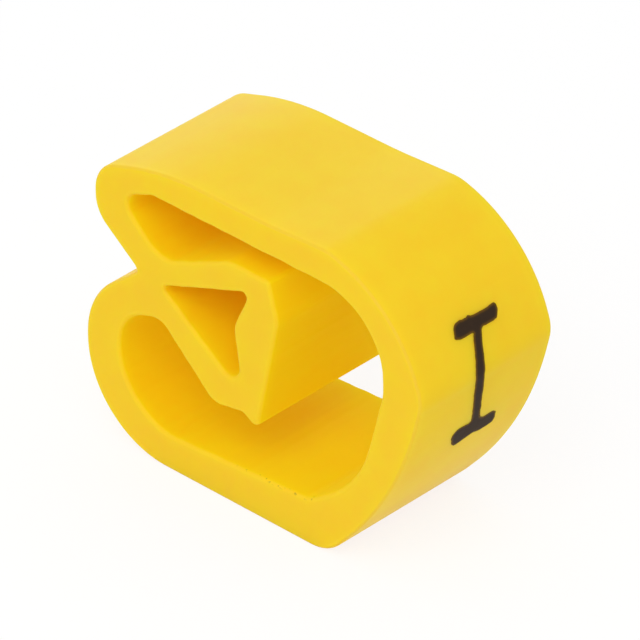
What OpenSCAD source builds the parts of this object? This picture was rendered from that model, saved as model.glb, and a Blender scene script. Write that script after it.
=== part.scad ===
// Slip-on cable marker: one short length cut from a soft PVC profile.
// The section is a ring with a dent in one side. Behind the dent a hollow, three-sided fold reaches in,
// and the cable is held between the fold and the printed wall.
// Sizes are in millimetres. X runs from the folded side to the printed wall, Y along the cable, Z up.

/* [Overall] */
// Length along the cable
marker_length = 3; // [2:0.1:6]
// Width of the section, from the end of the lower lobe to the corner of the ridge
marker_width = 7.19; // [6:0.01:8.6]
// Height of the section
marker_height = 5.57; // [4.6:0.01:6.7]

/* [Walls] */
// Thickness of the top wall where it meets the printed wall
top_wall = 0.63; // [0.45:0.01:0.75]
// How much lower the top is above the fold than at the printed wall
top_dip = 0.07; // [0.02:0.01:0.12]
// How far short of the flat top's end the dip begins
dip_inset = 1.3; // [1:0.01:1.6]
// Thickness of the base wall at the folded side
base_wall = 0.56; // [0.4:0.01:0.75]
// What the base wall gains in thickness on its way to the printed wall
base_gain = 0.28; // [0:0.01:0.4]
// Thickness of the wall at the ends of both lobes
lobe_wall = 0.73; // [0.5:0.01:0.9]
// Thickness of the printed wall at its ridge
printed_wall = 0.83; // [0.5:0.01:1]

/* [Printed wall] */
// Height of the ridge above the base
ridge_height = 3.66; // [3:0.01:4]
// How far short of the ridge the flat top and the flat base end
flat_inset = 1.96; // [1.5:0.01:2.3]
// How far in from the ridge the shoulder's corner lies
shoulder_inset = 0.54; // [0.3:0.01:0.8]
// How far below the top the shoulder's corner lies
shoulder_drop = 0.41; // [0.25:0.01:0.6]
// How far in from the ridge the lower swell's corner lies
swell_inset = 0.48; // [0.3:0.01:0.7]
// Height of the lower swell's corner above the base
swell_height = 1.68; // [1.3:0.01:2]
// Thickness of the printed wall across its lower swell, measured level
swell_wall = 0.84; // [0.6:0.01:1]
// How far below the outer swell's corner the inner one lies
swell_fall = 0.13; // [0:0.01:0.3]
// How far below the ridge the opening is widest
opening_ridge_fall = 0.21; // [0:0.01:0.3]
// How far short of the flat base the floor inside ends
floor_inset = 0.41; // [0.2:0.01:0.5]

/* [Lobes] */
// How far the dent reaches in from the lower lobe
dent_depth = 1.17; // [0.9:0.01:1.4]
// Height of the upper lobe, from the bottom of the dent to the top
upper_lobe_height = 2.14; // [1.9:0.01:2.4]
// How far the upper lobe stands back from the lower lobe
upper_lobe_setback = 0.23; // [0:0.01:0.4]
// How far from the end of the upper lobe the flat top begins
crown_inset = 1.48; // [1.2:0.01:1.8]
// How far below the dipped top the end of the upper lobe begins
crown_drop = 0.48; // [0.3:0.01:0.6]
// How far above the dent the end of the upper lobe stops
chin_rise = 0.73; // [0.6:0.01:0.9]
// How far below the dent the end of the lower lobe stops
cheek_drop = 0.93; // [0.75:0.01:1.1]

/* [Pockets of the lobes] */
// How far from its end the ceiling of the upper pocket becomes level
ceiling_inset = 0.51; // [0.35:0.01:0.65]
// How far below the ceiling the end of the upper pocket begins
ceiling_drop = 0.21; // [0.1:0.01:0.3]
// Height of the upper pocket's end
pocket_end = 0.26; // [0.15:0.01:0.35]
// How far in from the dent the bottom corner of the upper pocket lies
pocket_inset = 0.48; // [0.35:0.01:0.6]
// How far above the dent the bottom corner of the upper pocket lies
pocket_rise = 0.39; // [0.3:0.01:0.45]
// How far in from the dent the top corner of the lower pocket lies
cave_inset = 0.45; // [0.35:0.01:0.6]
// How far below the dent the top corner of the lower pocket lies
cave_drop = 0.68; // [0.55:0.01:0.8]
// How far the top of the lower pocket falls towards its end
cave_fall = 0.31; // [0.2:0.01:0.4]

/* [Fold] */
// Clear width for the cable, between the fold and the ridge of the printed wall
cable_gap = 2.19; // [1.8:0.01:2.65]
// Gap between the fold and the top wall
upper_gap = 0.47; // [0.35:0.01:0.6]
// How far the fold's lip stays above the thick end of the base wall
lip_clearance = 0.76; // [0.6:0.01:0.95]
// Width of the fold's flat top
fold_flat = 0.84; // [0.5:0.01:1]
// How far the fold's face leans back from its bulge to the flat top
face_lean = 0.18; // [0:0.01:0.3]
// How far below the flat top the face bulges most towards the cable
bulge_drop = 0.67; // [0.5:0.01:0.9]
// How far back from the bulge the lip lies
lip_inset = 0.45; // [0.35:0.01:0.55]
// Width of the lip
lip_width = 0.3; // [0.2:0.01:0.36]
// Depth of the lip
lip_depth = 0.2; // [0.1:0.01:0.25]
// Width of the fold's underside, from its heel to the tip of the lip
underside = 0.95; // [0.75:0.01:1.15]
// How far above the tip of the lip the heel lies
heel_rise = 0.08; // [0:0.01:0.15]

/* [Hollow of the fold] */
// Solid neck between the dent and the hollow
neck = 0.47; // [0.35:0.01:0.6]
// How far below the dent the hollow's narrow end lies
neck_fall = 0.06; // [0:0.01:0.15]
// Thickness of the fold under its flat top
fold_top_wall = 0.38; // [0.3:0.01:0.5]
// Thickness of the fold's face at the top of the hollow
face_wall_top = 0.42; // [0.3:0.01:0.55]
// Thickness of the fold's face at the hollow's waist
face_wall_waist = 0.86; // [0.7:0.01:1.05]
// Thickness of the fold's face at the hollow's foot
face_wall_foot = 0.43; // [0.3:0.01:0.55]
// How far below the flat top the waist lies
waist_drop = 1.17; // [1:0.01:1.4]
// How far above the tip of the lip the hollow's foot lies
foot_rise = 0.52; // [0.4:0.01:0.65]

/* [Roundings] */
// Lower lobe, at the base
lower_lobe_round = 1.72; // [1.2:0.01:2]
// Lower lobe, at the dent
cheek_round = 1.5; // [1:0.01:1.8]
// Ends of the upper lobe
upper_lobe_round = 0.62; // [0.3:0.01:0.7]
// Start of the flat top, above the upper lobe
crown_round = 4.8; // [2:0.1:6.5]
// Dip of the top
dip_round = 8; // [4:0.1:12]
// End of the flat top, at the printed wall
top_round = 1; // [0.5:0.01:1.5]
// Shoulder of the printed wall
shoulder_round = 2.65; // [1.5:0.01:3]
// Ridge of the printed wall
ridge_round = 0.7; // [0.1:0.01:1]
// Lower swell of the printed wall
swell_round = 6.5; // [3:0.01:8]
// End of the flat base, at the printed wall
base_round = 0.78; // [0.5:0.01:1.2]
// Bottom of the dent
dent_round = 0.03; // [0.02:0.01:0.1]
// Lower pocket, at the floor
floor_round = 1.2; // [0.8:0.01:1.4]
// Lower pocket, at its top
cave_round = 0.75; // [0.4:0.01:1]
// Upper pocket, at its bottom corner
pocket_round = 0.6; // [0.3:0.01:0.8]
// Opening, behind the shoulder of the printed wall
opening_shoulder_round = 1.25; // [0.7:0.01:1.5]
// Opening, behind the ridge of the printed wall
opening_ridge_round = 1.5; // [0.8:0.01:2]
// Opening, behind the lower swell of the printed wall
opening_swell_round = 2.2; // [1.4:0.01:2.6]
// Gentle bends of the fold
fold_bend = 0.4; // [0.2:0.01:0.5]
// Bends where a pocket turns from the lobe to the fold
pocket_bend = 0.38; // [0.1:0.01:0.45]
// Sharp corners of the fold and its hollow
fold_corner = 0.08; // [0.03:0.01:0.12]
// Tip of the lip
lip_round = 0.11; // [0.05:0.01:0.14]
// Foot of the hollow
foot_round = 0.2; // [0.1:0.01:0.25]

/* [Hidden] */
$fn = 128;

// Most of a side that the roundings at its two ends may take up
side_fill = 0.97;
// How far an arc stands proud of the sides it rounds, so that it crosses them
arc_lap = 0.00005;

left = -marker_width / 2;
right = marker_width / 2;
top = marker_height;
upper_left = left + upper_lobe_setback;
dent = [left + dent_depth, top - upper_lobe_height];
ceiling = top - top_wall;
pocket_left = upper_left + lobe_wall;
opening_right = right - printed_wall;
floor_end = base_wall + base_gain;
fold_top = ceiling - upper_gap;
bulge = [opening_right - cable_gap, fold_top - bulge_drop];
flat_end = bulge.x - face_lean;
lip = [bulge.x - lip_inset, floor_end + lip_clearance];

// Place of the fold's face at a height between its lip and its bulge
function face_at(z) = bulge.x - lip_inset * (bulge.y - z) / (bulge.y - lip.y);

waist_z = fold_top - waist_drop;
foot_z = lip.y + foot_rise;

// Outlines of the section, counter-clockwise. Each corner is [x, z, radius of its rounding].
outside = [
    [left, 0, lower_lobe_round],
    [right - flat_inset, 0, base_round],
    [right - swell_inset, swell_height, swell_round],
    [right, ridge_height, ridge_round],
    [right - shoulder_inset, top - shoulder_drop, shoulder_round],
    [right - flat_inset, top, top_round],
    [right - flat_inset - dip_inset, top - top_dip, dip_round],
    [upper_left + crown_inset, top - top_dip, crown_round],
    [upper_left, top - top_dip - crown_drop, upper_lobe_round],
    [upper_left, dent.y + chin_rise, upper_lobe_round],
    [dent.x, dent.y, dent_round],
    [left, dent.y - cheek_drop, cheek_round],
];
opening = [
    [left + lobe_wall, base_wall, floor_round],
    [right - flat_inset - floor_inset, floor_end, fold_bend],
    [right - swell_inset - swell_wall, swell_height - swell_fall, opening_swell_round],
    [opening_right, ridge_height - opening_ridge_fall, opening_ridge_round],
    [opening_right, ceiling, opening_shoulder_round],
    [pocket_left + ceiling_inset, ceiling, fold_bend],
    [pocket_left, ceiling - ceiling_drop, pocket_bend],
    [pocket_left, ceiling - ceiling_drop - pocket_end, fold_bend],
    [dent.x + pocket_inset, dent.y + pocket_rise, pocket_round],
    [flat_end - fold_flat, fold_top, fold_bend],
    [flat_end, fold_top, fold_corner],
    [bulge.x, bulge.y, fold_bend],
    [lip.x, lip.y, lip_round],
    [lip.x - lip_width, lip.y + lip_depth, fold_corner],
    [lip.x - underside, lip.y + heel_rise, fold_bend],
    [dent.x + cave_inset, dent.y - cave_drop, pocket_bend],
    [left + lobe_wall, dent.y - cave_drop - cave_fall, cave_round],
];
hollow = [
    [dent.x + neck, dent.y - neck_fall, fold_corner],
    [face_at(foot_z) - face_wall_foot, foot_z, foot_round],
    [face_at(waist_z) - face_wall_waist, waist_z, fold_bend],
    [flat_end - face_wall_top, fold_top - fold_top_wall, fold_corner],
];

// A corner of an outline, counted on past either end of the list
function corner(o, i) = o[(i + len(o)) % len(o)];
// Where a corner lies
function spot(o, i) = [corner(o, i).x, corner(o, i).y];
// Direction from one corner of an outline to another
function toward(o, i, j) = (spot(o, j) - spot(o, i)) / norm(spot(o, j) - spot(o, i));
// Angle between the two sides that meet at a corner
function angle_at(o, i) = acos(toward(o, i, i - 1) * toward(o, i, i + 1));
// How much of each side the full rounding of a corner takes up
function full_reach(o, i) = corner(o, i).z / tan(angle_at(o, i) / 2);
// Share of their radii that the corners at the ends of side i can keep
function side_share(o, i) =
    min(1, side_fill * norm(spot(o, i + 1) - spot(o, i)) / (full_reach(o, i) + full_reach(o, i + 1)));
// Radius and reach of a corner's rounding, once its two sides have limited it
function share(o, i) = min(side_share(o, i - 1), side_share(o, i));
function radius(o, i) = corner(o, i).z * share(o, i);
function reach(o, i) = full_reach(o, i) * share(o, i);
// Does a corner point out of its outline?
function points_out(o, i) = cross(toward(o, i - 1, i), toward(o, i, i + 1)) > 0;

// The sector of a disc that rounds one corner. It reaches past the points where the disc meets the sides.
module corner_arc(o, i) {
    r = radius(o, i);
    inward = (toward(o, i, i - 1) + toward(o, i, i + 1)) / norm(toward(o, i, i - 1) + toward(o, i, i + 1));
    past = reach(o, i) + 2 * sqrt(2 * r * arc_lap);
    start = spot(o, i) + toward(o, i, i - 1) * past;
    finish = spot(o, i) + toward(o, i, i + 1) * past;
    root = (start + finish) / 2 + inward * norm(finish - start) / 2;
    intersection() {
        translate(spot(o, i) + inward * r / sin(angle_at(o, i) / 2)) circle(r + arc_lap);
        polygon([root, 2 * start - root, 2 * spot(o, i) - root, 2 * finish - root]);
    }
}

// An outline with all its corners rounded by true arcs
module rounded(o) {
    difference() {
        union() {
            polygon([for (i = [0:len(o) - 1], j = [-1, 1]) spot(o, i) + toward(o, i, i + j) * reach(o, i)]);
            for (i = [0:len(o) - 1]) if (points_out(o, i)) corner_arc(o, i);
        }
        for (i = [0:len(o) - 1]) if (!points_out(o, i)) corner_arc(o, i);
    }
}

// The whole marker, extruded along the cable
module marker_body() {
    color("gold")
    translate([0, marker_length / 2, 0])
    rotate([90, 0, 0])
    linear_extrude(marker_length)
    difference() {
        rounded(outside);
        rounded(opening);
        rounded(hollow);
    }
}

marker_body();
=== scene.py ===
import math

import bpy
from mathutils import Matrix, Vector


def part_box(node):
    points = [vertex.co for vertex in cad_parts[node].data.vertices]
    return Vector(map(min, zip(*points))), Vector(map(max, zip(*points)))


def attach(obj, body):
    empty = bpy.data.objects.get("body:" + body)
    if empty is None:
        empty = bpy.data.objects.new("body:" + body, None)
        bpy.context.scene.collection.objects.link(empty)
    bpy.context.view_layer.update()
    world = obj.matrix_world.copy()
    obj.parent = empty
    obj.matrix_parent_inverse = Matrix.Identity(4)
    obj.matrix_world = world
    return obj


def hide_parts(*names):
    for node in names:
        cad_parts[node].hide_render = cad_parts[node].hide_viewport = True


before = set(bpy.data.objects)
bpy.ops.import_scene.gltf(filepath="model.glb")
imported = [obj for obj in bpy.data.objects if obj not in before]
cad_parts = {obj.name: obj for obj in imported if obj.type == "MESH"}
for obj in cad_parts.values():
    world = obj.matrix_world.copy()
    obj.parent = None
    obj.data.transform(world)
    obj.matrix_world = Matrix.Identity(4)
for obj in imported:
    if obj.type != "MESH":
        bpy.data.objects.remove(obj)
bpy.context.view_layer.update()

# The marker's body
# A short length of soft PVC profile. The profile is extruded without end as a ring with one side folded in,
# then cut across with a blade, so its walls are smooth and satin and its two cut faces flat and matte.
MM = 0.001
front_corner, rear_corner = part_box("marker_body")
MARKER_LENGTH = (rear_corner[1] - front_corner[1]) / MM
HALF_LENGTH = MARKER_LENGTH / 2
# Corners of the section in millimetres, each with the radius that its rounding has in the CAD, with the PVC
# on the left
OUTSIDE = (
    (-3.595, 0, 1.7067), (1.635, 0, 0.78), (3.115, 1.68, 6.5), (3.595, 3.66, 0.6925), (3.055, 5.16, 2.4961),
    (1.635, 5.57, 0.9419), (0.335, 5.5, 8), (-1.885, 5.5, 4.8), (-3.365, 5.02, 0.62), (-3.365, 4.16, 0.62),
    (-2.425, 3.43, 0.03), (-3.595, 2.5, 1.4884),
)
OPENING = (
    (-2.865, 2.44, 0.75), (-1.975, 2.75, 0.38), (-0.825, 1.68, 0.4), (-0.175, 1.8, 0.08), (0.125, 1.6, 0.11),
    (0.575, 3.8, 0.4), (0.395, 4.47, 0.08), (-0.445, 4.47, 0.4), (-1.945, 3.82, 0.6), (-2.635, 4.47, 0.2361),
    (-2.635, 4.73, 0.2243), (-2.125, 4.94, 0.4), (2.765, 4.94, 1.25), (2.765, 3.45, 1.5), (2.275, 1.55, 2.2),
    (1.225, 0.84, 0.4), (-2.865, 0.56, 1.2),
)
HOLLOW = (
    (-0.025, 4.09, 0.08), (-0.3873, 3.3, 0.4), (-0.1986, 2.12, 0.2), (-1.955, 3.37, 0.08),
)
# Steps along the rounding of each corner
CORNER_STEPS = 24


def linear(hex_colour):
    """A colour written as sRGB hex, as the linear values that shaders take."""
    shares = [int(hex_colour[i:i + 2], 16) / 255 for i in (1, 3, 5)]
    return [s / 12.92 if s <= 0.04045 else ((s + 0.055) / 1.055) ** 2.4 for s in shares] + [1]


def add(tree, kind, inputs=None, **settings):
    """Adds a node with its settings; inputs gives each socket a value, or another node's output to link."""
    made = tree.nodes.new(kind)
    for name, value in settings.items():
        setattr(made, name, value)
    for name, value in (inputs or {}).items():
        if isinstance(value, bpy.types.NodeSocket):
            tree.links.new(value, made.inputs[name])
        else:
            made.inputs[name].default_value = value
    return made


def limited(tree, most, limits):
    """A share that is highest where each value lies past its end, and 0 where any lies before its start."""
    share = most
    for value, start, end in limits:
        ramp = add(tree, "ShaderNodeMapRange", {"Value": value, "From Min": start, "From Max": end})
        share = add(tree, "ShaderNodeMath", {0: ramp.outputs[0], 1: share}, operation="MULTIPLY").outputs[0]
    return share


def new_tree(name, sizes):
    """A geometry tree with a named input for each size, and its two end nodes."""
    tree = bpy.data.node_groups.new(name, "GeometryNodeTree")
    tree.interface.new_socket("Geometry", in_out="INPUT", socket_type="NodeSocketGeometry")
    for size, kind in sizes.items():
        tree.interface.new_socket(size, in_out="INPUT", socket_type="NodeSocket" + kind)
    tree.interface.new_socket("Geometry", in_out="OUTPUT", socket_type="NodeSocketGeometry")
    return tree, tree.nodes.new("NodeGroupInput").outputs, tree.nodes.new("NodeGroupOutput").inputs


def grown(name, tree, values):
    """The plain mesh object that a geometry tree makes from its named inputs."""
    piece = bpy.data.objects.new(name, bpy.data.meshes.new(name))
    bpy.context.scene.collection.objects.link(piece)
    maker = piece.modifiers.new("maker", "NODES")
    maker.node_group = tree
    for socket in tree.interface.items_tree:
        if socket.in_out == "INPUT" and socket.name in values:
            maker[socket.identifier] = values[socket.name]
    bpy.context.view_layer.update()
    mesh = bpy.data.meshes.new_from_object(piece.evaluated_get(bpy.context.evaluated_depsgraph_get()))
    piece.modifiers.remove(maker)
    piece.data = mesh
    mesh.name = name
    return piece


def corner_lines(name, loops, closed=True):
    """A curve object with a straight line through each list of corners, which carry their roundings."""
    curve = bpy.data.curves.new(name, "CURVE")
    curve.dimensions = "3D"
    for loop in loops:
        spline = curve.splines.new("POLY")
        spline.points.add(len(loop) - 1)
        spline.use_cyclic_u = closed
        for point, (sideways, up, rounding) in zip(spline.points, loop):
            point.co = (sideways, up, 0, 1)
            point.radius = rounding
    holder = bpy.data.objects.new(name, curve)
    bpy.context.scene.collection.objects.link(holder)
    return holder


def rounded_line(tree, holder, spacing):
    """The lines of a curve object with their corners rounded, as points a given spacing apart."""
    info = add(tree, "GeometryNodeObjectInfo", {"Object": holder})
    fillet = add(tree, "GeometryNodeFilletCurve", {
        "Curve": info.outputs["Geometry"], "Count": CORNER_STEPS, "Limit Radius": True,
        "Radius": add(tree, "GeometryNodeInputRadius").outputs[0]}, mode="POLY")
    even = add(tree, "GeometryNodeResampleCurve", {
        "Curve": fillet.outputs[0], "Length": spacing}, mode="LENGTH")
    return even.outputs[0]


# A Mix node has sockets of its own for numbers, places and colours, and a Compare node for whole numbers
NUMBER_A, NUMBER_B, PLACE_A, PLACE_B, COLOUR_A, COLOUR_B = range(2, 8)
NUMBER, PLACE, COLOUR = range(3)
WHOLE_A, WHOLE_B = 2, 3

# Plasticised PVC, coloured right through: refractive index 1.53, a satin skin where the die drew it, with
# faint lines along the draw, and a duller, finely scored face where the blade cut it. Light goes a few tenths
# of a millimetre into it, which fills the pockets with a warm glow and softens the edges.
LIGHT_DEPTH = 0.45
MOTTLE_SIZE = 0.7
# Lines of the die and the blade are finer than this on a real marker, too fine to show, and so drawn coarser
DRAW_LINE_WIDTH = 0.07
BLADE_LINE_WIDTH = 0.05
LINE_HEIGHT = 0.004
# How much slower each kind of line changes along itself, and the slant of the blade's lines
DRAW_LINE_STRETCH = 0.02
BLADE_LINE_STRETCH = 0.03
BLADE_SLANT = math.radians(25)
# Distances from a cut face: where its finish is in full and where it ends, and where the painted shade on the
# outer edge lies
CUT_FULL, CUT_END = 0.02, 0.07
EDGE_SHADE_RISE, EDGE_SHADE_FALL = (0.06, 0.025), (0.0001, 0.008)
# Nicks: their size, the noise values at which one starts and is in full, and how dark it gets
NICK_SIZE = 0.07
NICK_START, NICK_FULL = 0.58, 0.66
NICK_STRENGTH = 0.45
# Where the nicks lie along each axis in millimetres: where they start and where they are in full
NICK_PLACES = (
    ("X", -0.4, -0.2), ("Y", -1.43, -1.45), ("Y", -1.498, -1.48), ("Z", 0.7, 0.76), ("Z", 0.93, 0.87),
)

pvc = bpy.data.materials.new("extruded soft PVC")
pvc.use_nodes = True
shade = pvc.node_tree
surface = shade.nodes["Principled BSDF"]
surface.inputs["IOR"].default_value = 1.53
surface.inputs["Specular IOR Level"].default_value = 0.18
surface.inputs["Subsurface Weight"].default_value = 0.7
surface.inputs["Subsurface Radius"].default_value = (1.0, 0.7, 0.1)
surface.inputs["Subsurface Scale"].default_value = LIGHT_DEPTH * MM
place = add(shade, "ShaderNodeTexCoord").outputs["Object"]
along_axis = add(shade, "ShaderNodeSeparateXYZ", {0: place}).outputs
from_middle = add(shade, "ShaderNodeMath", {0: along_axis["Y"]}, operation="ABSOLUTE").outputs[0]
from_cut = add(shade, "ShaderNodeMath", {
    0: HALF_LENGTH * MM, 1: from_middle}, operation="SUBTRACT").outputs[0]
inside = add(shade, "ShaderNodeAttribute", attribute_name="inside").outputs["Fac"]
mottle = add(shade, "ShaderNodeTexNoise", {
    "Vector": place, "Scale": 1 / (MOTTLE_SIZE * MM), "Detail": 3.0}).outputs["Fac"]
drawn_place = add(shade, "ShaderNodeMapping", {"Vector": place, "Scale": (1, DRAW_LINE_STRETCH, 1)})
draw_lines = add(shade, "ShaderNodeTexNoise", {
    "Vector": drawn_place.outputs[0], "Scale": 1 / (DRAW_LINE_WIDTH * MM), "Detail": 2.0}).outputs["Fac"]
scored_place = add(shade, "ShaderNodeMapping", {
    "Vector": place, "Rotation": (0, BLADE_SLANT, 0), "Scale": (1, 1, BLADE_LINE_STRETCH)})
blade_lines = add(shade, "ShaderNodeTexNoise", {
    "Vector": scored_place.outputs[0], "Scale": 1 / (BLADE_LINE_WIDTH * MM), "Detail": 2.0}).outputs["Fac"]
cut_share = add(shade, "ShaderNodeMapRange", {
    "Value": from_cut, "From Min": CUT_FULL * MM, "From Max": CUT_END * MM, "To Min": 1.0, "To Max": 0.0},
    interpolation_type="SMOOTHSTEP").outputs[0]
# Faint brown nicks that the blade left where the front cut meets the floor of the opening
nick_noise = add(shade, "ShaderNodeTexNoise", {"Vector": place, "Scale": 1 / (NICK_SIZE * MM), "Detail": 1.0})
nick_share = limited(shade, NICK_STRENGTH, [
    (nick_noise.outputs["Fac"], NICK_START, NICK_FULL), (inside, 0.5, 1.0),
    *((along_axis[axis], start * MM, full * MM) for axis, start, full in NICK_PLACES)])
# Painted shade: the outer edge of each cut gets a duller, greyer yellow than the faces beside it, which tones
# down the light that its rounding catches
painted_edge_shade = limited(shade, 1.0, [
    (inside, 1.0, 0.5), *((from_cut, start * MM, full * MM) for start, full in (EDGE_SHADE_RISE, EDGE_SHADE_FALL))])
# Each surface gets a tint that varies at random. The inside walls' tint is painted light and shade: a richer
# yellow, with no blue and a little more green than the skin, that stands in for the warm glow in the pockets
skin_tint, painted_pocket_tint, cut_tint = [
    add(shade, "ShaderNodeMix", {
        "Factor": mottle, COLOUR_A: linear(darker), COLOUR_B: linear(lighter)},
        data_type="RGBA").outputs[COLOUR]
    for darker, lighter in (("#FECC16", "#FEDB20"), ("#F9D300", "#F9DD00"), ("#FECA28", "#FED91C"))
]
yellow = skin_tint
for share, layer in (
    (inside, painted_pocket_tint), (cut_share, cut_tint),
    # the nicks' brown, then the greyer yellow that is painted shade on the outer cut edges
    (nick_share, linear("#5A4408")), (painted_edge_shade, linear("#F6C734")),
):
    yellow = add(shade, "ShaderNodeMix", {
        "Factor": share, COLOUR_A: yellow, COLOUR_B: layer}, data_type="RGBA").outputs[COLOUR]
shade.links.new(yellow, surface.inputs["Base Color"])
satin = add(shade, "ShaderNodeMapRange", {"Value": draw_lines, "To Min": 0.43, "To Max": 0.51}).outputs[0]
dull = add(shade, "ShaderNodeMapRange", {"Value": blade_lines, "To Min": 0.5, "To Max": 0.62}).outputs[0]
roughness = satin
for share, layer in ((inside, 0.88), (cut_share, dull)):
    roughness = add(shade, "ShaderNodeMix", {
        "Factor": share, NUMBER_A: roughness, NUMBER_B: layer}).outputs[NUMBER]
shade.links.new(roughness, surface.inputs["Roughness"])
scoring = add(shade, "ShaderNodeMix", {"Factor": cut_share, NUMBER_A: draw_lines, NUMBER_B: blade_lines})
relief = add(shade, "ShaderNodeBump", {
    "Height": scoring.outputs[NUMBER], "Strength": 0.25, "Distance": LINE_HEIGHT * MM})
shade.links.new(relief.outputs[0], surface.inputs["Normal"])

# The tree works in millimetres, with the section lying flat, and stands and shrinks the result at its end
profile_tree, profile_sizes, profile_result = new_tree("cut profile", {
    "Section": "Object", "Length": "Float", "Edge": "Float", "Outer Edge": "Float", "Land": "Float",
    "Waves": "Vector", "Spacing": "Float", "PVC": "Material",
})
upright = add(profile_tree, "GeometryNodeSetCurveNormal", {
    "Curve": rounded_line(profile_tree, profile_sizes["Section"], profile_sizes["Spacing"])}, mode="Z_UP")
loop_number = add(profile_tree, "GeometryNodeCurveOfPoint").outputs["Curve Index"]
inner = add(profile_tree, "FunctionNodeCompare", {
    WHOLE_A: loop_number, WHOLE_B: 0}, data_type="INT", operation="GREATER_THAN").outputs[0]
told = add(profile_tree, "GeometryNodeStoreNamedAttribute", {
    "Geometry": upright.outputs[0], "Name": "inside", "Value": inner})
# The die leaves slight waves in the inner walls, about this long
WAVE_SIZE = 0.3
wave = add(profile_tree, "ShaderNodeTexNoise", {"Scale": 1 / WAVE_SIZE, "Detail": 1.0}).outputs["Color"]
wave = add(profile_tree, "ShaderNodeVectorMath", {
    0: wave, 1: (0.5, 0.5, 0.5)}, operation="SUBTRACT").outputs[0]
wave = add(profile_tree, "ShaderNodeVectorMath", {
    0: wave, 1: profile_sizes["Waves"]}, operation="MULTIPLY").outputs[0]
waved = add(profile_tree, "GeometryNodeSetPosition", {
    "Geometry": told.outputs[0], "Selection": inner, "Offset": wave})
half = add(profile_tree, "ShaderNodeMath", {
    0: profile_sizes["Length"], 1: 0.5}, operation="MULTIPLY").outputs[0]
low = add(profile_tree, "ShaderNodeMath", {0: half, 1: -1}, operation="MULTIPLY").outputs[0]
width = add(profile_tree, "ShaderNodeMath", {
    0: profile_sizes["Edge"], 1: profile_sizes["Land"]}, operation="ADD").outputs[0]
inset = add(profile_tree, "ShaderNodeMath", {0: width, 1: -1}, operation="MULTIPLY").outputs[0]
# Share of the full edge rounding that a place keeps: less outside, and less where a tight corner leaves
# no room, since the rounding may take up only this much of the corner's radius
EDGE_IN_CORNER = 0.85
room = add(profile_tree, "ShaderNodeMath", {
    0: add(profile_tree, "GeometryNodeInputRadius").outputs[0], 1: width}, operation="DIVIDE").outputs[0]
room = add(profile_tree, "ShaderNodeMath", {0: room, 1: EDGE_IN_CORNER}, operation="MULTIPLY").outputs[0]
outer_share = add(profile_tree, "ShaderNodeMath", {
    0: profile_sizes["Outer Edge"], 1: profile_sizes["Edge"]}, operation="DIVIDE").outputs[0]
most_room = add(profile_tree, "GeometryNodeSwitch", {
    "Switch": inner, "False": outer_share, "True": 1.0}, input_type="FLOAT").outputs[0]
room = add(profile_tree, "ShaderNodeMath", {0: room, 1: most_room}, operation="MINIMUM").outputs[0]
shared = add(profile_tree, "GeometryNodeStoreNamedAttribute", {
    "Geometry": waved.outputs[0], "Name": "share", "Value": room})
based = add(profile_tree, "GeometryNodeStoreNamedAttribute", {
    "Geometry": shared.outputs[0], "Name": "base",
    "Value": add(profile_tree, "GeometryNodeInputPosition").outputs[0]}, data_type="FLOAT_VECTOR")
# A strip from cut face to cut face, turned in at both ends by a rounding in steps, is swept round each loop
EDGE_STEPS = 8
strip_corners = ((inset, low), (0, low), (0, half), (inset, half))
strip_places = add(profile_tree, "GeometryNodeIndexSwitch", data_type="VECTOR")
while len(strip_places.index_switch_items) < len(strip_corners):
    strip_places.index_switch_items.new()
for number, (x, y) in enumerate(strip_corners):
    strip_corner = add(profile_tree, "ShaderNodeCombineXYZ", {"X": x, "Y": y})
    profile_tree.links.new(strip_corner.outputs[0], strip_places.inputs[number + 1])
profile_tree.links.new(add(profile_tree, "GeometryNodeInputIndex").outputs[0], strip_places.inputs[0])
strip = add(profile_tree, "GeometryNodeSetPosition", {
    "Geometry": add(profile_tree, "GeometryNodeMeshLine", {"Count": len(strip_corners)}).outputs[0],
    "Position": strip_places.outputs[0]})
strip_line = add(profile_tree, "GeometryNodeMeshToCurve", {"Mesh": strip.outputs[0]})
strip_round = add(profile_tree, "GeometryNodeFilletCurve", {
    "Curve": strip_line.outputs[0], "Count": EDGE_STEPS, "Limit Radius": True,
    "Radius": profile_sizes["Edge"]}, mode="POLY")
swept = add(profile_tree, "GeometryNodeCurveToMesh", {
    "Curve": based.outputs[0], "Profile Curve": strip_round.outputs[0]})
# Each point of an edge is drawn towards the sharp corner by the share that its place doesn't keep
here = add(profile_tree, "GeometryNodeInputPosition").outputs[0]
height = add(profile_tree, "ShaderNodeSeparateXYZ", {0: here}).outputs["Z"]
side = add(profile_tree, "ShaderNodeMath", {0: height}, operation="SIGN").outputs[0]
end_height = add(profile_tree, "ShaderNodeMath", {0: side, 1: half}, operation="MULTIPLY").outputs[0]
base = add(profile_tree, "GeometryNodeInputNamedAttribute", {"Name": "base"}, data_type="FLOAT_VECTOR")
sharp_corner = add(profile_tree, "ShaderNodeVectorMath", {
    0: base.outputs[0], 1: add(profile_tree, "ShaderNodeCombineXYZ", {"Z": end_height}).outputs[0]})
kept_share = add(profile_tree, "GeometryNodeInputNamedAttribute", {"Name": "share"}, data_type="FLOAT")
kept = add(profile_tree, "ShaderNodeMix", {
    "Factor": kept_share.outputs[0], PLACE_A: sharp_corner.outputs[0], PLACE_B: here}, data_type="VECTOR")
walls = add(profile_tree, "GeometryNodeSetPosition", {
    "Geometry": swept.outputs[0], "Position": kept.outputs[PLACE]})
for spent in ("share", "base"):
    walls = add(profile_tree, "GeometryNodeRemoveAttribute", {"Geometry": walls.outputs[0], "Name": spent})
smooth_walls = add(profile_tree, "GeometryNodeSetShadeSmooth", {
    "Geometry": walls.outputs[0], "Shade Smooth": True})
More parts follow.
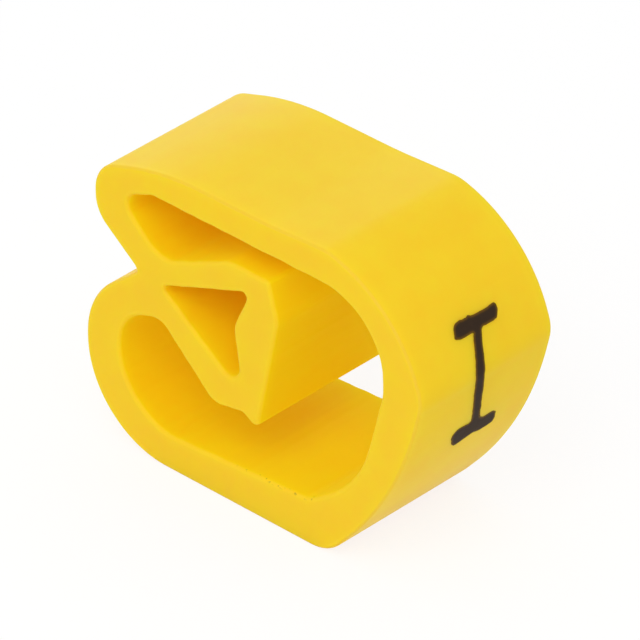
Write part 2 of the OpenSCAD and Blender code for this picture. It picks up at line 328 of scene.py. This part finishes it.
# The open rim of the walls is filled once, and that cut face closes both ends
open_edge = add(profile_tree, "FunctionNodeCompare", {
    WHOLE_A: add(profile_tree, "GeometryNodeInputMeshEdgeNeighbors").outputs[0], WHOLE_B: 1},
    data_type="INT", operation="EQUAL").outputs[0]
upper = add(profile_tree, "FunctionNodeCompare", {0: height, 1: 0.0}, operation="GREATER_THAN").outputs[0]
upper_rim = add(profile_tree, "FunctionNodeBooleanMath", {0: open_edge, 1: upper}).outputs[0]
rim_line = add(profile_tree, "GeometryNodeMeshToCurve", {
    "Mesh": smooth_walls.outputs[0], "Selection": upper_rim})
cut = add(profile_tree, "GeometryNodeFillCurve", {"Curve": rim_line.outputs[0]}, mode="TRIANGLES")
cut_face = add(profile_tree, "GeometryNodeSetShadeSmooth", {
    "Geometry": cut.outputs[0], "Shade Smooth": False}).outputs[0]
turned_face = add(profile_tree, "GeometryNodeFlipFaces", {"Mesh": cut_face}).outputs[0]
ends = [
    add(profile_tree, "GeometryNodeTransform", {
        "Geometry": face, "Translation": add(profile_tree, "ShaderNodeCombineXYZ", {"Z": shift}).outputs[0]})
    for face, shift in ((cut_face, half), (turned_face, low))
]
whole = add(profile_tree, "GeometryNodeJoinGeometry")
for part in (smooth_walls, *ends):
    profile_tree.links.new(part.outputs[0], whole.inputs[0])
# Points nearer to each other than this become one, which closes the body
SAME_POINT = 0.0002
closed_body = add(profile_tree, "GeometryNodeMergeByDistance", {
    "Geometry": whole.outputs[0], "Distance": SAME_POINT})
stood_body = add(profile_tree, "GeometryNodeTransform", {
    "Geometry": closed_body.outputs[0], "Rotation": (math.pi / 2, 0, 0), "Scale": (MM, MM, MM)})
real_body = add(profile_tree, "GeometryNodeRealizeInstances", {"Geometry": stood_body.outputs[0]})
faced_body = add(profile_tree, "GeometryNodeSetMaterial", {
    "Geometry": real_body.outputs[0], "Material": profile_sizes["PVC"]})
profile_tree.links.new(faced_body.outputs[0], profile_result[0])

section_lines = corner_lines("section_lines", (OUTSIDE, OPENING, HOLLOW))
body = grown("pvc_body", profile_tree, {
    "Section": section_lines, "Length": MARKER_LENGTH, "Edge": 0.075, "Outer Edge": 0.055, "Land": 0.015,
    "Waves": (0.03, 0.03, 0), "Spacing": 0.03, "PVC": pvc})
bpy.data.objects.remove(section_lines)
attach(body, "root")
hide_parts("marker_body")

# The printed mark
# The plain sign for one, an upright stroke between two serifs. It is a thin film of brown-black ink, printed
# on the wide wall before the profile is cut, so it follows the bend of the ridge.
# Corners of the mark in millimetres, along the cable and up the wall from the ridge, with their roundings
MARK = (
    (0.5, 0.865, 0.05), (0.33, 0.838, 0.1), (0.1, 0.846, 0.2), (-0.035, 0.856, 0.02), (-0.08, 0.89, 0.01),
    (-0.13, 0.864, 0.02), (-0.27, 0.884, 0.03), (-0.39, 0.868, 0.05), (-0.45, 0.8, 0.06),
    (-0.49, 0.655, 0.03),
    (-0.46, 0.635, 0.03), (-0.375, 0.612, 0.08), (-0.2, 0.6, 0.1), (-0.09, 0.605, 0.02), (-0.15, 0.46, 0.3),
    (-0.24, 0.06, 0.4), (-0.24, -0.06, 0.4), (-0.165, -0.55, 0.8), (0, -1.215, 0.04), (-0.21, -1.205, 0.1),
    (-0.32, -1.205, 0.08), (-0.385, -1.3, 0.06), (-0.375, -1.4, 0.06), (-0.3, -1.57, 0.05),
    (-0.23, -1.65, 0.05),
    (-0.15, -1.665, 0.05), (0.09, -1.61, 0.2), (0.2, -1.597, 0.2), (0.36, -1.645, 0.3), (0.52, -1.645, 0.2),
    (0.655, -1.62, 0.06), (0.66, -1.5, 0.08), (0.61, -1.33, 0.07), (0.52, -1.262, 0.05), (0.42, -1.262, 0.1),
    (0.3, -1.278, 0.06), (0.21, -1.21, 0.05), (0.155, -1.09, 0.2), (0.06, -0.69, 0.6), (-0.035, -0.12, 0.5),
    (-0.03, 0.13, 0.4), (0.015, 0.4, 0.3), (0.075, 0.57, 0.05), (0.115, 0.617, 0.04), (0.23, 0.602, 0.1),
    (0.36, 0.61, 0.08), (0.44, 0.618, 0.04), (0.47, 0.665, 0.05), (0.525, 0.75, 0.06), (0.52, 0.83, 0.04),
)
# Corners of the printed wall, and the distance along it from the corner of the base to the ridge
WALL = OUTSIDE[1:6]
RIDGE_RISE = 4.2045
WALL_SPACING = 0.01
# Size of the unevenness of the mark's outline
RAGGED_SIZE = 0.12

# Printing ink: a matte, slightly uneven film that dries darker where it lies thicker
BLOTCH_SIZE = 0.15
# Width of the rim in which the film thins out, and the yellow shows through
THIN_RIM = 0.055
ink = bpy.data.materials.new("dried printing ink")
ink.use_nodes = True
film = ink.node_tree
coat = film.nodes["Principled BSDF"]
coat.inputs["IOR"].default_value = 1.5
coat.inputs["Specular IOR Level"].default_value = 0.12
blotches = add(film, "ShaderNodeTexNoise", {
    "Vector": add(film, "ShaderNodeTexCoord").outputs["Object"], "Scale": 1 / (BLOTCH_SIZE * MM),
    "Detail": 3.0}).outputs["Fac"]
brown_black = add(film, "ShaderNodeMix", {
    "Factor": blotches, COLOUR_A: linear("#2C1E12"), COLOUR_B: linear("#3A2A1D")}, data_type="RGBA")
thinness = add(film, "ShaderNodeMapRange", {
    "Value": add(film, "ShaderNodeAttribute", attribute_name="rim").outputs["Fac"], "From Max": THIN_RIM,
    "To Min": 1.0, "To Max": 0.0}, interpolation_type="SMOOTHSTEP")
thinned = add(film, "ShaderNodeMix", {
    "Factor": thinness.outputs[0], COLOUR_A: brown_black.outputs[COLOUR], COLOUR_B: linear("#6A4C08")},
    data_type="RGBA")
film.links.new(thinned.outputs[COLOUR], coat.inputs["Base Color"])
dryness = add(film, "ShaderNodeMapRange", {"Value": blotches, "To Min": 0.55, "To Max": 0.75})
film.links.new(dryness.outputs[0], coat.inputs["Roughness"])

# The tree lays the flat mark on the line of the wall, as a closed film with its underside just below
# the surface
mark_tree, mark_sizes, mark_result = new_tree("ink film", {
    "Mark": "Object", "Wall": "Object", "Ridge": "Float", "Height": "Float", "Bed": "Float",
    "Spacing": "Float", "Unevenness": "Vector", "Ink": "Material",
})
jog = add(mark_tree, "ShaderNodeTexNoise", {"Scale": 1 / RAGGED_SIZE, "Detail": 2.0}).outputs["Color"]
jog = add(mark_tree, "ShaderNodeVectorMath", {0: jog, 1: (0.5, 0.5, 0.5)}, operation="SUBTRACT").outputs[0]
jog = add(mark_tree, "ShaderNodeVectorMath", {
    0: jog, 1: mark_sizes["Unevenness"]}, operation="MULTIPLY").outputs[0]
outline = add(mark_tree, "GeometryNodeSetPosition", {
    "Geometry": rounded_line(mark_tree, mark_sizes["Mark"], mark_sizes["Spacing"]), "Offset": jog}).outputs[0]
flat_mark = add(mark_tree, "GeometryNodeFillCurve", {"Curve": outline}, mode="TRIANGLES")
fine_mark = add(mark_tree, "GeometryNodeSubdivideMesh", {"Mesh": flat_mark.outputs[0], "Level": 2})
to_rim = add(mark_tree, "GeometryNodeProximity", {
    "Geometry": add(mark_tree, "GeometryNodeCurveToMesh", {"Curve": outline}).outputs[0]},
    target_element="EDGES")
rimmed = add(mark_tree, "GeometryNodeStoreNamedAttribute", {
    "Geometry": fine_mark.outputs[0], "Name": "rim", "Value": to_rim.outputs["Distance"]}).outputs[0]
raised = add(mark_tree, "GeometryNodeExtrudeMesh", {
    "Mesh": rimmed, "Offset": (0, 0, 1), "Offset Scale": 1.0, "Individual": False})
underside = add(mark_tree, "GeometryNodeFlipFaces", {"Mesh": rimmed})
both_sides = add(mark_tree, "GeometryNodeJoinGeometry")
for part in (raised, underside):
    mark_tree.links.new(part.outputs[0], both_sides.inputs[0])
closed_film = add(mark_tree, "GeometryNodeMergeByDistance", {
    "Geometry": both_sides.outputs[0], "Distance": SAME_POINT})
flat_place = add(mark_tree, "ShaderNodeSeparateXYZ", {
    0: add(mark_tree, "GeometryNodeInputPosition").outputs[0]}).outputs
rise = add(mark_tree, "ShaderNodeMath", {0: flat_place["Y"], 1: mark_sizes["Ridge"]})
wall = add(mark_tree, "GeometryNodeSampleCurve", {
    "Curves": rounded_line(mark_tree, mark_sizes["Wall"], WALL_SPACING), "Length": rise.outputs[0]},
    mode="LENGTH", use_all_curves=True)
heading = add(mark_tree, "ShaderNodeSeparateXYZ", {0: wall.outputs["Tangent"]})
inward = add(mark_tree, "ShaderNodeMath", {0: heading.outputs["X"], 1: -1}, operation="MULTIPLY")
outward = add(mark_tree, "ShaderNodeCombineXYZ", {"X": heading.outputs["Y"], "Y": inward.outputs[0]})
below = add(mark_tree, "ShaderNodeMath", {0: mark_sizes["Bed"], 1: -1}, operation="MULTIPLY")
lift = add(mark_tree, "ShaderNodeMapRange", {
    "Value": flat_place["Z"], "To Min": below.outputs[0], "To Max": mark_sizes["Height"]})
proud = add(mark_tree, "ShaderNodeVectorMath", {
    0: outward.outputs[0], "Scale": lift.outputs[0]}, operation="SCALE")
along_cable = add(mark_tree, "ShaderNodeMath", {0: flat_place["X"], 1: -1}, operation="MULTIPLY")
aside = add(mark_tree, "ShaderNodeCombineXYZ", {"Z": along_cable.outputs[0]})
on_wall = add(mark_tree, "ShaderNodeVectorMath", {0: wall.outputs["Position"], 1: proud.outputs[0]})
settled = add(mark_tree, "ShaderNodeVectorMath", {0: on_wall.outputs[0], 1: aside.outputs[0]})
laid = add(mark_tree, "GeometryNodeSetPosition", {
    "Geometry": closed_film.outputs[0], "Position": settled.outputs[0]})
stood_mark = add(mark_tree, "GeometryNodeTransform", {
    "Geometry": laid.outputs[0], "Rotation": (math.pi / 2, 0, 0), "Scale": (MM, MM, MM)})
real_mark = add(mark_tree, "GeometryNodeRealizeInstances", {"Geometry": stood_mark.outputs[0]})
inked = add(mark_tree, "GeometryNodeSetMaterial", {
    "Geometry": real_mark.outputs[0], "Material": mark_sizes["Ink"]})
mark_tree.links.new(inked.outputs[0], mark_result[0])

mark_lines = corner_lines("mark_lines", (MARK,))
wall_line = corner_lines("wall_line", (WALL,), closed=False)
mark = grown("printed_mark", mark_tree, {
    "Mark": mark_lines, "Wall": wall_line, "Ridge": RIDGE_RISE, "Height": 0.005, "Bed": 0.003,
    "Spacing": 0.02, "Unevenness": (0.03, 0.03, 0), "Ink": ink})
bpy.data.objects.remove(mark_lines)
bpy.data.objects.remove(wall_line)
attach(mark, "root")

# The floor
# A wide sheet of plain white paper that the marker lies on, bare of any mark. It bounces light
# up into the marker and takes its soft shadow.
FLOOR_REACH = 1.0
# What the camera sees of the paper: a grey that takes the shadow, and a glow that lifts it to white
SHADOW_GREY = linear("#7C7C7C")
PAPER_GLOW = 0.82


def seen_share(tree):
    """1 for rays that show a surface, directly or in gloss or glass, and 0 for those that carry light."""
    rays = add(tree, "ShaderNodeLightPath").outputs
    share = rays["Is Camera Ray"]
    for kind in ("Is Glossy Ray", "Is Transmission Ray"):
        share = add(tree, "ShaderNodeMath", {0: share, 1: rays[kind]}, operation="MAXIMUM").outputs[0]
    return share


paper = bpy.data.materials.new("white paper")
paper.use_nodes = True
sheet = paper.node_tree
sheet.nodes.remove(sheet.nodes["Principled BSDF"])
matte = add(sheet, "ShaderNodeBsdfDiffuse", {"Color": linear("#FAFAFA")})
shadowed = add(sheet, "ShaderNodeBsdfDiffuse", {"Color": SHADOW_GREY})
glow = add(sheet, "ShaderNodeEmission", {"Strength": PAPER_GLOW})
pale = add(sheet, "ShaderNodeAddShader", {0: shadowed.outputs[0], 1: glow.outputs[0]})
shown = add(sheet, "ShaderNodeMixShader", {0: seen_share(sheet), 1: matte.outputs[0], 2: pale.outputs[0]})
sheet.links.new(shown.outputs[0], sheet.nodes["Material Output"].inputs["Surface"])
floor_corners = [(FLOOR_REACH * x, FLOOR_REACH * y, 0) for x, y in ((-1, -1), (1, -1), (1, 1), (-1, 1))]
floor_mesh = bpy.data.meshes.new("floor")
floor_mesh.from_pydata(floor_corners, [], [range(len(floor_corners))])
floor_mesh.materials.append(paper)
floor = bpy.data.objects.new("floor", floor_mesh)
bpy.context.scene.collection.objects.link(floor)

# The light
# A white tent round the marker, with a large soft lamp above its front and a weaker one low behind its
# folded side.
TENT_LIGHT = 0.75
TENT_SEEN = 1.0
LAMP_WIDTH = 60
# Place in millimetres and power in watts of each lamp
LAMPS = {"front lamp": ((25, -55, 75), 0.0208), "rear lamp": ((-75, 62, 22), 0.006)}
tent = bpy.data.worlds.new("white tent")
bpy.context.scene.world = tent
tent.use_nodes = True
around = tent.node_tree
level = add(around, "ShaderNodeMapRange", {
    "Value": seen_share(around), "To Min": TENT_LIGHT, "To Max": TENT_SEEN})
backing = around.nodes["Background"]
backing.inputs["Color"].default_value = linear("#FFFFFF")
around.links.new(level.outputs[0], backing.inputs["Strength"])
# Light goes to and fro many times in the pockets of the marker before it comes out again
bpy.context.scene.cycles.diffuse_bounces = 12
for name, (lamp_place, watts) in LAMPS.items():
    lamp_data = bpy.data.lights.new(name, "AREA")
    lamp_data.shape = "DISK"
    lamp_data.size = LAMP_WIDTH * MM
    lamp_data.energy = watts
    lamp = bpy.data.objects.new(name, lamp_data)
    lamp.location = Vector(lamp_place) * MM
    lamp.rotation_mode = "QUATERNION"
    lamp.rotation_quaternion = (-lamp.location).to_track_quat("-Z", "Y")
    bpy.context.scene.collection.objects.link(lamp)

# The camera
# A long lens, looking down at the front cut face and the printed wall.
AZIMUTH, ELEVATION = math.radians(43.4), math.radians(33)
LOOKED_AT = (1.485, -1.5, 4.27)
DISTANCE = 122.14
level_reach = math.cos(ELEVATION)
back = Vector((math.sin(AZIMUTH) * level_reach, -math.cos(AZIMUTH) * level_reach, math.sin(ELEVATION)))
camera_data = bpy.data.cameras.new("camera")
camera_data.sensor_width = 36
camera_data.lens = 450
camera_data.clip_start = 10 * MM
camera_data.clip_end = 10
camera = bpy.data.objects.new("camera", camera_data)
camera.location = (Vector(LOOKED_AT) + back * DISTANCE) * MM
camera.rotation_mode = "QUATERNION"
camera.rotation_quaternion = (-back).to_track_quat("-Z", "Y")
bpy.context.scene.collection.objects.link(camera)
bpy.context.scene.camera = camera
bpy.context.scene.view_settings.view_transform = "Standard"
